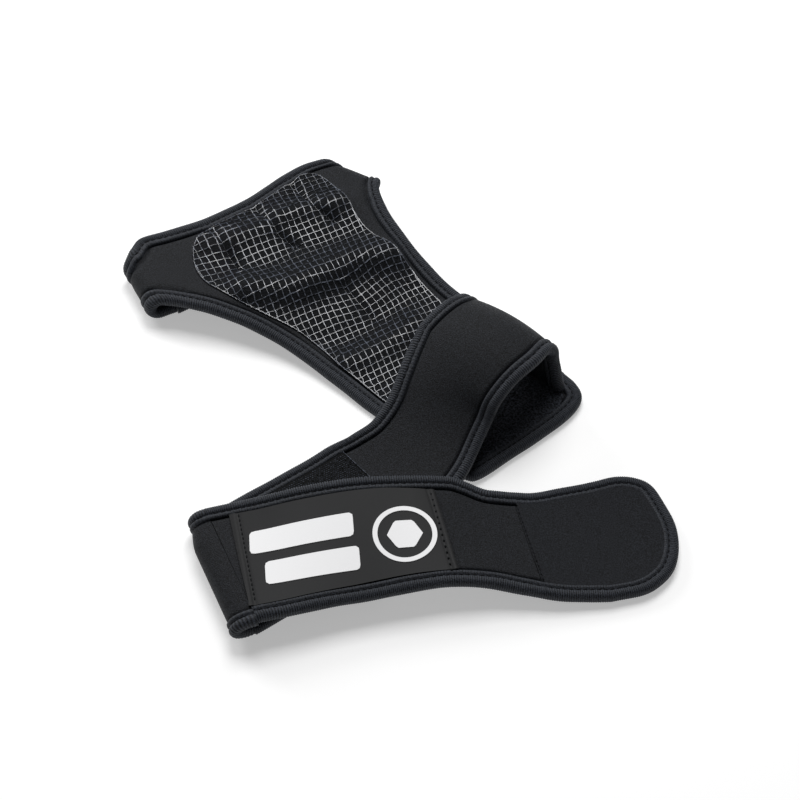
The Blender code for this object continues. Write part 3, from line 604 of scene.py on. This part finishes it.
def sheet(name, outline, surface, low, high, gap, finish_name, bound=(), texture=None, sink=1.1):
    """Cloth cut flat to an outline and laid out between two lifts; it sinks beside its bound edges."""
    points, faces, ring = fill(np.asarray(outline, float), gap, bound)
    near = from_edge(points, ring)
    top_lift, bottom_lift = np.full(len(points), high), np.full(len(points), low)
    if len(bound):
        away = np.min([from_run(*points.T, edge[0][::12]) for edge in bound], axis=0)
        thin = sink * ease((TAPE_WIDTH + 1.3 - away) / 1.1)
        top_lift, bottom_lift = top_lift - thin, bottom_lift + thin
    if texture is not None and high > 0:
        top_lift = top_lift + texture(points, near)
    elif texture is not None:
        bottom_lift = bottom_lift - texture(points, near)
    count = len(points)
    verts = np.vstack([laid(surface, points, top_lift), laid(surface, points, bottom_lift)])
    sides = np.vstack([faces[:, [0, 1]], faces[:, [1, 2]], faces[:, [2, 0]]])
    keys = np.sort(sides, axis=1)
    _, back, times = np.unique(keys, axis=0, return_inverse=True, return_counts=True)
    rim_sides = sides[times[back.reshape(-1)] == 1]
    walls = np.vstack([rim_sides[:, [1, 0]].T, rim_sides.T + count]).T
    walls = np.vstack([walls[:, [0, 1, 2]], walls[:, [0, 2, 3]]])
    return solid(name, verts, np.vstack([faces, faces[:, ::-1] + count, walls]), finish_name)


def tube_faces(rings, size, first=0):
    """Faces and end caps of a tube of rings with size points each, numbered from first."""
    i = np.arange(rings - 1)[:, None] * size + first
    j = np.arange(size)[None, :]
    k = (j + 1) % size
    quads = np.stack([i + j, i + k, i + size + k, i + size + j], -1).reshape(-1, 4).tolist()
    end = first + size * rings
    return quads + [list(range(first, first + size)), list(range(end - size, end))]


def ribbon(name, edge, surface, finish_name):
    """Ribbed tape folded over the edge, rolled at the outside and with a groove for its stitches."""
    half = np.array(TAPE_PROFILE)
    profile = np.vstack([half, half[:0:-1] * (1, -1)])
    run = run_of(edge[0])
    wave = np.cos(2 * np.pi * run / RIB + 0.6 * np.sin(run / 2.3))
    ladder = np.cos(2 * np.pi * run / (RIB * 1.3))
    ribbed, selvedge = profile[:, 0] > GROOVE_FROM, profile[:, 0] < GROOVE_TO
    swell = np.where(ribbed, 0.09 * wave[:, None], 0.035 * ladder[:, None] * selvedge)
    uneven = 0.05 * np.sin(run / 7.3)[:, None] + 0.04 * np.sin(run / 3.1 + 1)[:, None]
    push = swell + uneven
    d = profile[None, :, 0] + push * (profile[None, :, 0] > -1.0)
    h = profile[None, :, 1] * (1 + push / 2.5)
    flat = edge[0][:, None, :] + d[:, :, None] * edge[1][:, None, :]
    verts = laid(surface, flat.reshape(-1, 2), h.reshape(-1))
    obj = solid(name, verts, tube_faces(len(run), len(profile)), finish_name)
    # The tape's colour follows this value, darker between the ribs and in the ladder's dips: painted
    # shade, partly the thread's own colour.
    rib_shade = np.where(ribbed, 0.5 + 0.5 * wave[:, None], 0.45 + 0.15 * ladder[:, None])
    values = obj.data.attributes.new("rib_shade", "FLOAT", "POINT").data
    values.foreach_set("value", rib_shade.reshape(-1).astype(np.float32))
    return obj


def beads(name, starts, ends, surface, lift, radius, finish_name, sag=0.25, sides=6, rings=5):
    """Short stitches, each from a start to an end on the cloth, rounded and sunk at their ends."""
    starts, ends = np.asarray(starts, float), np.asarray(ends, float)
    spots = np.linspace(0, 1, rings)
    turns = np.linspace(0, 2 * np.pi, sides, endpoint=False)
    along = ends - starts
    side = np.stack([-along[:, 1], along[:, 0]], 1) / np.linalg.norm(along, axis=1, keepdims=True)
    flats, lifts = [], []
    sign = 1 if lift > 0 else -1
    for t in spots:
        wide = radius * (0.35 + 0.65 * math.sin(math.pi * t) ** 0.5)
        for turned in turns:
            flats.append(starts + along * t + side * wide * math.cos(turned))
            height = wide * math.sin(turned) - sag * (2 * t - 1) ** 2
            lifts.append(np.full(len(starts), lift + sign * height))
    flats, lifts = np.stack(flats, 1), np.stack(lifts, 1)
    verts = laid(surface, flats.reshape(-1, 2), lifts.reshape(-1))
    faces = []
    for n in range(len(starts)):
        faces += tube_faces(rings, sides, n * rings * sides)
    return solid(name, verts, faces, finish_name)


def running_stitch(name, edge, surface, face, depth=4.02, pitch=2.7, length=1.9):
    """Stitches along the tape's groove."""
    line = edge[0] - edge[1] * depth
    run = run_of(line)
    at = np.arange(pitch / 2, run[-1] - length, pitch)
    starts, ends = on_path(line, run, at), on_path(line, run, at + length)
    return beads(name, starts, ends, surface, face * STITCH_LIFT, STITCH_RADIUS, "thread")


def rim(edge, step=1):
    """Edge of the neoprene inside a bound edge."""
    return edge[0][::step] - edge[1][::step] * RIM


def palm_edges():
    """The palm's bound edges: little-finger side, wrist end, thumb side and finger edge."""
    left, end, right = curve(LEFT_SIDE, 12), curve(WRIST_END, 12), curve(RIGHT_SIDE, 12)
    path = np.vstack([left[:-1], end[:-1], right])
    run = run_of(path)
    one, two = run_of(left)[-1], run_of(left)[-1] + run_of(end)[-1]
    cuts = ((0, one), (one, two), (two, run[-1]))
    little, wrist, thumb = [on_path(path, run, np.linspace(*cut, 400)) for cut in cuts]
    edges = [lean(edge_at(little, first=(1, 0))), edge_at(wrist), lean(edge_at(thumb, last=(1, 0)))]
    s = np.linspace(WING_RIGHT, WING_LEFT, 400)
    front = np.stack([smooth(s, FINGER_EDGE), s], 1)
    return edges + [lean(edge_at(front, first=(1, 0), last=(1, 0)))]


def build_palm():
    """Palm cloth, its tapes and stitches, and the strip at the strap's foot."""
    edges = palm_edges()
    outline = np.vstack([rim(edge, 5) for edge in edges])
    cloth = sheet("palm_cloth", outline, palm_at, -SKIN, SKIN, 1.1, "neoprene", edges)
    place(cloth, "palm", ("palm_panel",))
    names = ("little_side", "wrist_end", "thumb_side", "finger_edge")
    for name, edge in zip(names, edges):
        tape = ribbon(f"{name}_tape", edge, palm_at, "ribbed_tape")
        place(tape, "palm", (f"{name}_binding",))
        place(running_stitch(f"{name}_stitches", edge, palm_at, 1), "palm")
    low, high = SKIN - 0.3, SKIN + 1.0
    strip = sheet("strap_foot_strip", SEAM_STRIP, palm_at, low, high, 1.0, "binding_tape", (), grain)
    place(strip, "palm", ("strap_seam_strip",))


def build_band():
    """Back-of-hand band and its two tapes."""
    ends = [wing_end(u, side) for u, side in ((26, -1), (27.2, 1))]
    s = np.linspace(*ends, 200)
    rear = edge_at(np.stack([smooth(s, BAND_REAR), s], 1), first=(1, -0.50), last=(1, 0.63))
    ends = [wing_end(BAND_FRONT, side) for side in (1, -1)]
    line = np.stack([np.full(200, BAND_FRONT), np.linspace(*ends, 200)], 1)
    front = edge_at(line, first=(1, 0.55), last=(1, -0.93))
    seams = [[(u, wing_end(u, side)) for u in spots] for side, spots in ((1, (20, 11)), (-1, (11, 20)))]
    outline = np.vstack([rim(rear, 5), seams[0], rim(front, 5), seams[1]])
    cloth = sheet("back_band_cloth", outline, band_at, -SKIN, SKIN, 1.4, "neoprene", (rear, front))
    place(cloth, "palm", ("back_band_panel",))
    for name, edge in (("front", front), ("rear", rear)):
        tape = ribbon(f"back_band_{name}_tape", edge, band_at, "ribbed_tape")
        place(tape, "palm", (f"back_band_{name}_binding",))
        place(running_stitch(f"back_band_{name}_stitches", edge, band_at, -1), "palm")


def net_warp(flat):
    """The net's squares pulled round where the palm bulges, and a little uneven everywhere."""
    u, s = flat.T
    far = ((u - SWIRL_U) ** 2 + (s - SWIRL_S) ** 2) / SWIRL_WIDE**2
    turned = np.radians(SWIRL_TURN) * np.exp(-far)
    du, ds = u - SWIRL_U, s - SWIRL_S
    u = SWIRL_U + du * np.cos(turned) - ds * np.sin(turned)
    s = SWIRL_S + du * np.sin(turned) + ds * np.cos(turned)
    messy = 0.07 + 0.3 * ease(1 - (smooth(u, PALM_SIDE) - np.abs(s) - 6) / 9)
    u = u + 0.35 * np.sin(s / 6.1 + 0.7 * np.sin(u / 9)) + messy * np.sin(s / 0.9 + u / 1.3)
    s = s + 0.35 * np.sin(u / 6.7 + 0.9 * np.sin(s / 8)) + messy * np.sin(u / 0.8 - s / 1.4)
    return np.stack([u, s], 1)


def net_runs(outline):
    """Each strand of the net as a run of flat points inside the patch."""
    runs = []
    t = np.arange(-NET_REACH, NET_REACH, NET_STEP)
    for turned, pitch in NET:
        along, across = turn(turned), turn(turned + 90)
        for k in range(-NET_LINES, NET_LINES + 1):
            line = net_warp(NET_MIDDLE + np.outer(t, along) + across * pitch * k)
            kept = inside(line, outline)
            starts = np.flatnonzero(np.diff(np.concatenate([[0], kept.astype(int)])) == 1)
            stops = np.flatnonzero(np.diff(np.concatenate([kept.astype(int), [0]])) == -1) + 1
            runs += [line[i:j] for i, j in zip(starts, stops) if j - i > 3]
    return runs


def build_grip_patch():
    """Dark base and the raised silicone net on it."""
    front = [(float(smooth(s, FINGER_EDGE)) + TAPE_WIDTH - 0.2, s) for s in GRIP_FRONT]
    outline = curve(GRIP_PATCH + tuple(front) + (GRIP_PATCH[0],), 5)[:-1]
    base = sheet("grip_base", outline, palm_at, SKIN - 0.4, SKIN + 0.35, 0.9, "grip_base", (), grain)
    place(base, "palm", ("grip_patch",))
    turns = np.linspace(0, 2 * np.pi, STRAND_SIDES, endpoint=False)
    points, faces = [], []
    first = 0
    border = edge_at(np.vstack([outline, outline[:1]]), 0.8)
    for number, line in enumerate(net_runs(outline) + [border[0] - 0.45 * border[1]]):
        along = np.gradient(line, axis=0)
        side = np.stack([-along[:, 1], along[:, 0]], 1)
        side /= np.maximum(np.linalg.norm(side, axis=1, keepdims=True), 1e-9)
        beat = np.sin(line[:, 0] * 1.9 + number) * np.sin(line[:, 1] * 1.7 + 2 * number)
        radius = STRAND + 0.06 * beat
        flats = [line + side * (radius * math.cos(a))[:, None] for a in turns]
        lifts = [SKIN + STRAND_LIFT + radius * math.sin(a) for a in turns]
        points.append(laid(palm_at, np.stack(flats, 1).reshape(-1, 2), np.stack(lifts, 1).reshape(-1)))
        faces += tube_faces(len(line), STRAND_SIDES, first)
        first += STRAND_SIDES * len(line)
    net = solid("grip_net", np.vstack(points), faces, "grip_silicone")
    place(net, "palm")


def grain(points, near):
    """Small unevenness of a rough surface."""
    x, y = points.T
    return 0.06 * np.sin(x * 3.1 + 1.3 * np.sin(y * 2.3)) * np.sin(y * 2.9 + 1.1 * np.sin(x * 1.9))


def nap(points, near):
    """Tufts of the loop pile."""
    x, y = points.T
    one = np.sin(x * 3.7 + 2.0 * np.sin(y * 2.9)) * np.sin(y * 4.1 + 2.0 * np.sin(x * 3.3))
    two = np.sin(x * 6.9 + 1.7 * np.sin(y * 5.3 + 1)) * np.sin(y * 7.3 + 1.9 * np.sin(x * 6.1))
    return (0.22 * one + 0.16 * two) * np.clip(near, 0, 1)


def build_pile():
    """Loop pile on the wrist end."""
    pile = sheet("loop_pile", LOOP_PATCH, palm_at, SKIN - 0.4, SKIN + 0.75, 0.45, "loop_pile", (), nap)
    place(pile, "palm", ("loop_patch",))


def strap_edges(low, high):
    """Both long edges of a stretch of strap between two end cuts."""
    sides = []
    for side, table in ((1, UPPER_EDGE), (-1, LOWER_EDGE)):
        ends = []
        for line in (low, high):
            a = float(line(0))
            for _ in range(6):
                a = float(line(side * float(smooth(a, table))))
            ends.append(a)
        a = np.linspace(*ends, 500)
        path = np.stack([a, side * smooth(a, table)], 1)
        cuts = [(float(line(1) - line(0)), 1) for line in (low, high)]
        if side > 0:
            path, cuts = path[::-1], cuts[::-1]
        sides.append(edge_at(path, first=cuts[0], last=cuts[1]))
    return sides


def square_line(a):
    """Cut straight across the strap at a."""
    return lambda b: a + 0.0 * np.asarray(b, float)


def tab_line(offset):
    """Slanting seam at the start of the tab."""
    return lambda b: TAB_AT + offset + TAB_SLANT * np.asarray(b, float)


def tapes_and_stitches(prefix, edges, surface, body, faces=(1,)):
    """Both edge tapes of a stretch of strap, which it returns, and stitches on the faces that show."""
    hems = []
    for side, edge in zip(("inner", "outer"), edges):
        tape = ribbon(f"{prefix}_{side}_tape", edge, surface, "ribbed_tape")
        hems.append(place(tape, body, (f"{prefix}_{side}_binding",)))
        for face in faces:
            name = f"{prefix}_{side}_stitches_{'up' if face > 0 else 'down'}"
            place(running_stitch(name, edge, surface, face), body)
    return hems


def build_strap():
    """Strap from its foot over the arch to the fold, with its tapes and hook patch."""
    edges = strap_edges(square_line(0.3), lambda b: fold_line(b, 0))
    outline = np.vstack([rim(edges[1], 5), rim(edges[0], 5)])
    cloth = sheet("strap_cloth", outline, strap_at, -SKIN, SKIN, 1.1, "neoprene", edges)
    place(cloth, "strap", ("strap_panel",))
    hems = tapes_and_stitches("strap", edges, strap_at, "strap", (1, -1))
    deep = TAPE_WIDTH - 0.2  # the hook patch reaches a little under the tapes
    a = np.linspace(HOOK_FROM, HOOK_TO, 12)
    slant = float(fold_line(1, 0) - fold_line(0, 0))
    share = (a - HOOK_FROM) / (HOOK_TO - HOOK_FROM)
    upper = np.stack([a + share * slant * 22, smooth(a, UPPER_EDGE) - deep], 1)
    lower = np.stack([a - share * slant * 20, deep - smooth(a, LOWER_EDGE)], 1)
    patch = np.vstack([lower, upper[::-1]])
    hook = sheet("hook_tape", patch, strap_at, SKIN - 0.4, SKIN + 0.3, 0.9, "hook_tape")
    place(hook, "strap", ("hook_patch",))
    place(hook_rows(patch), "strap")
    line = np.linspace((HOOK_FROM + 0.2, deep - 24.6), (HOOK_FROM + 0.2, 26.2 - deep), 60)
    lift = SKIN + 0.45
    selvedge = beads("hook_tape_edge", line[:-1], line[1:], strap_at, lift, 0.3, "hook_loops", 0.05)
    place(selvedge, "strap")


def hook_rows(patch):
    """Woven hooks in slanting rows."""
    p, q = np.meshgrid(np.arange(-60, 60, HOOK_PITCH), np.arange(-60, 60, HOOK_ROW))
    q = q + 0.5 * (np.round(p / HOOK_PITCH) % 2)  # every other hook stands half a row on
    c, s = turn(HOOK_TURN)
    middle = (HOOK_FROM + HOOK_TO) / 2
    spots = np.stack([(middle + c * p - s * q).ravel(), (s * p + c * q).ravel()], 1)
    spots = spots[inside(spots, np.asarray(patch))]
    spots = spots[from_edge(spots, np.asarray(patch)) > 0.9]
    reach = 0.3 * turn(80)
    starts, ends, lift = spots - reach, spots + reach, SKIN + 0.38
    return beads("hook_loops", starts, ends, strap_at, lift, 0.26, "hook_loops", 0.1, 4, 3)


def build_fold():
    """The strap's turn back over itself."""
    past = np.linspace(0, FOLD_END, 79)
    edges = []
    for side, table in ((1, UPPER_EDGE), (-1, LOWER_EDGE)):
        b = side * float(smooth(fold_line(side * FOLD_HALF, FOLD_END / 2), table))
        d = past[::-1] if side > 0 else past
        edges.append((np.stack([d, np.full(len(d), b)], 1), np.tile((0.0, side), (len(d), 1))))
    outline = np.vstack([rim(edges[1], 6), rim(edges[0], 6)])
    cloth = sheet("fold_cloth", outline, fold_at, -SKIN, SKIN, 1.0, "neoprene", edges, sink=0.4)
    place(cloth, "fold", ("fold_panel",))
    pieces = [cloth]
    for side, edge in zip(("inner", "outer"), edges):
        tape = ribbon(f"fold_{side}_tape", edge, fold_at, "ribbed_tape")
        pieces.append(place(tape, "fold", (f"fold_{side}_binding",)))
        stitches = running_stitch(f"fold_{side}_stitches", edge, fold_at, -1)
        pieces.append(place(stitches, "fold"))
    for piece in pieces:
        weigh_fold(piece)


def weigh_fold(piece):
    """Angle of each point of the fold round its turn, worked out but not kept."""
    co = np.array([v.co for v in piece.data.vertices]) / MM + np.array([CENTRE_X, CENTRE_Y, 0.0])
    past = (co[:, :2] - FOLD_POINT) @ FOLD_OUT
    angle = np.arctan2(past, FOLD_RADIUS + BED + 0.1 - co[:, 2])
    angle = np.where(angle < -2.2, np.pi, angle)  # just past half a turn reads as a negative angle


def label_texture(points, near):
    """Raised welt down both ends of the rubber label."""
    a, b = points.T
    left, right = (at + slope * b for at, slope in (LABEL_LEFT, LABEL_RIGHT))
    ridge = 0.35 * (np.exp(-((a - left - 0.9) / 1.1) ** 4) + np.exp(-((a - right + 0.9) / 1.1) ** 4))
    groove = np.exp(-((a - left - 2.9) / 0.5) ** 2) + np.exp(-((a - right + 2.5) / 0.5) ** 2)
    return ridge - 0.2 * groove


def rounded(centre_a, centre_b, length, height, radius, lean_by):
    """Outline of a bar with rounded corners."""
    corners = []
    for x, y, start in ((1, -1, -90), (1, 1, 0), (-1, 1, 90), (-1, -1, 180)):
        for step in range(5):
            c, s = turn(start + 22.5 * step)
            at = (x * (length / 2 - radius) + radius * c, y * (height / 2 - radius) + radius * s)
            corners.append((centre_a + at[0] + lean_by * at[1], centre_b + at[1]))
    return corners


def build_print(face):
    """Plain raised mark in place of the lettering: two bars, a ring and a hexagon."""
    low, high = face - 0.28, face + 0.1
    for name, a, b, length, height in PRINT_BARS:
        bar = rounded(a, b, length, height, 1.6, 0.1)
        piece = sheet(f"{name}_print", bar, strap_at, low, high, 1.5, "label_print")
        place(piece, "label_strap", (name,))
    hexagon = [MARK + HEXAGON * turn(60 * k) for k in range(6)]
    piece = sheet("label_hexagon_print", hexagon, strap_at, low, high, 1.5, "label_print")
    place(piece, "label_strap", ("label_hexagon",))
    count = 96
    turns = np.linspace(0, 2 * np.pi, count, endpoint=False)
    circle = np.stack([np.cos(turns), np.sin(turns)], 1)
    loops = [(RING_OUTER, high), (RING_OUTER, low), (RING_INNER, low), (RING_INNER, high)]
    points = np.vstack([laid(strap_at, MARK + r * circle, np.full(count, lift)) for r, lift in loops])
    faces = []
    for k in range(len(loops)):
        at, following = k * count, (k + 1) % len(loops) * count
        for i in range(count):
            j = (i + 1) % count
            faces.append((at + i, at + j, following + j, following + i))
    ring = solid("label_ring_print", points, faces, "label_print")
    place(ring, "label_strap", ("label_ring",))


def label_stitches(name, a, b, reach, lift, radius):
    """Stitches across the rubber label."""
    starts = np.stack([a, b], 1)
    seam = beads(name, starts, starts + reach, strap_at, lift, radius, "thread", 0.1)
    place(seam, "label_strap")


def build_label_strap():
    """Strap from the fold to the tab, and the rubber label on it."""
    edges = strap_edges(lambda b: fold_line(b, FOLD_END), tab_line(0))
    outline = np.vstack([rim(edges[1], 5), rim(edges[0], 5)])
    cloth = sheet("label_strap_cloth", outline, strap_at, -SKIN, SKIN, 1.1, "neoprene", edges)
    place(cloth, "label_strap", ("label_strap_panel",))
    hems = tapes_and_stitches("label_strap", edges, strap_at, "label_strap", (-1,))
    face = -(SKIN + 0.75)  # the side that shows is the strap's underside, turned up by the fold
    back = -SKIN + 0.5
    label = sheet("label_plate", LABEL, strap_at, face, back, 0.7, "label_rubber", (), label_texture)
    place(label, "label_strap", ("rubber_label",))
    b = np.arange(-17, 20, 2.7)
    label_stitches("label_end_stitches", 287.9 - 0.16 * b, b, (-0.2, 1.2), face, 0.42)
    b = np.arange(-19, 21, 2.2)
    label_stitches("label_line_stitches", 208.7 - 0.034 * b + 2.9, b, (0.0, 1.7), face + 0.1, 0.3)
    build_print(face)


def build_tab():
    """Rounded pull tab, its tape, and the smooth cover sewn on with a zigzag."""
    start = tab_line(0)
    a_low = np.linspace(float(start(-25.3)), TAB_WIDEST, 200)[:-1]
    a_high = np.linspace(TAB_WIDEST, float(start(24.5)), 200)[1:]
    lower = np.stack([a_low, -smooth(a_low, LOWER_EDGE)], 1)
    upper = np.stack([a_high, smooth(a_high, UPPER_EDGE)], 1)
    path = np.vstack([lower, curve(TAB_END, 16)[::-1], upper])
    edge = edge_at(path, first=(TAB_SLANT, 1), last=(TAB_SLANT, 1))
    cloth = sheet("tab_cloth", rim(edge, 5), strap_at, -SKIN, SKIN, 1.3, "neoprene", (edge,))
    place(cloth, "tab", ("tab_panel",))
    tape = ribbon("tab_tape", edge, strap_at, "ribbed_tape")
    place(tape, "tab", ("tab_binding",))
    place(running_stitch("tab_stitches", edge, strap_at, -1), "tab")
    run = run_of(edge[0])
    kept = (run > END_TURN) & (run < run[-1] - END_TURN)
    shrunk = (edge[0] - edge[1] * (TAPE_WIDTH - 0.6))[kept][::8]
    b = np.linspace(shrunk[-1][1], shrunk[0][1], 140)
    zigzag = np.stack([tab_line(0.7)(b) + 0.28 * np.sin(2 * np.pi * b / 2.1), b], 1)
    shape = np.vstack([shrunk, zigzag])
    low, high = -(SKIN + 0.55), -SKIN + 0.4
    cover = sheet("tab_cover_cloth", shape, strap_at, low, high, 0.9, "tab_cover_cloth")
    place(cover, "tab", ("tab_cover",))


def build_stage():
    """Pale floor, soft lights and the camera."""
    bpy.ops.mesh.primitive_plane_add(size=8)
    floor = bpy.context.object
    floor.name = "floor"
    m = bpy.data.materials.new("floor")
    m.use_nodes = True
    shader = m.node_tree.nodes["Principled BSDF"]
    shader.inputs["Base Color"].default_value = (FLOOR_SHADE, FLOOR_SHADE, FLOOR_SHADE, 1)
    shader.inputs["Roughness"].default_value = 0.9
    shader.inputs["Specular IOR Level"].default_value = 0.0
    shader.inputs["Emission Color"].default_value = (1, 1, 1, 1)
    shader.inputs["Emission Strength"].default_value = FLOOR_GLOW
    floor.data.materials.append(m)
    for name, at, size, energy in LIGHTS:
        light = bpy.data.lights.new(name, "AREA")
        light.size = size
        light.energy = energy
        obj = bpy.data.objects.new(name, light)
        obj.location = at
        obj.rotation_euler = (-Vector(at)).to_track_quat("-Z", "Y").to_euler()
        bpy.context.scene.collection.objects.link(obj)
    world = bpy.data.worlds.new("studio")
    world.use_nodes = True
    background = world.node_tree.nodes["Background"]
    background.inputs["Color"].default_value = (1, 1, 1, 1)
    background.inputs["Strength"].default_value = WORLD_GLOW
    bpy.context.scene.world = world
    bpy.context.scene.view_settings.view_transform = "Standard"
    camera = bpy.data.objects.new("camera", bpy.data.cameras.new("camera"))
    camera.data.lens = LENS
    camera.data.sensor_width = 36
    aim = Vector((-CENTRE_X * MM, -CENTRE_Y * MM, 0))
    out = Vector((0, -math.cos(math.radians(ELEVATION)), math.sin(math.radians(ELEVATION))))
    camera.location = aim + out
    camera.rotation_euler = (-out).to_track_quat("-Z", "Y").to_euler()
    camera.data.clip_end = 20
    bpy.context.scene.collection.objects.link(camera)
    bpy.context.scene.camera = camera


FINISHES = materials()
build_palm()
build_band()
build_grip_patch()
build_pile()
build_strap()
build_fold()
build_label_strap()
build_tab()
for number in (1, 2, 3):
    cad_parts[f"finger_divider_{number}"].data.materials[0] = FINISHES["binding_tape"]
build_stage()
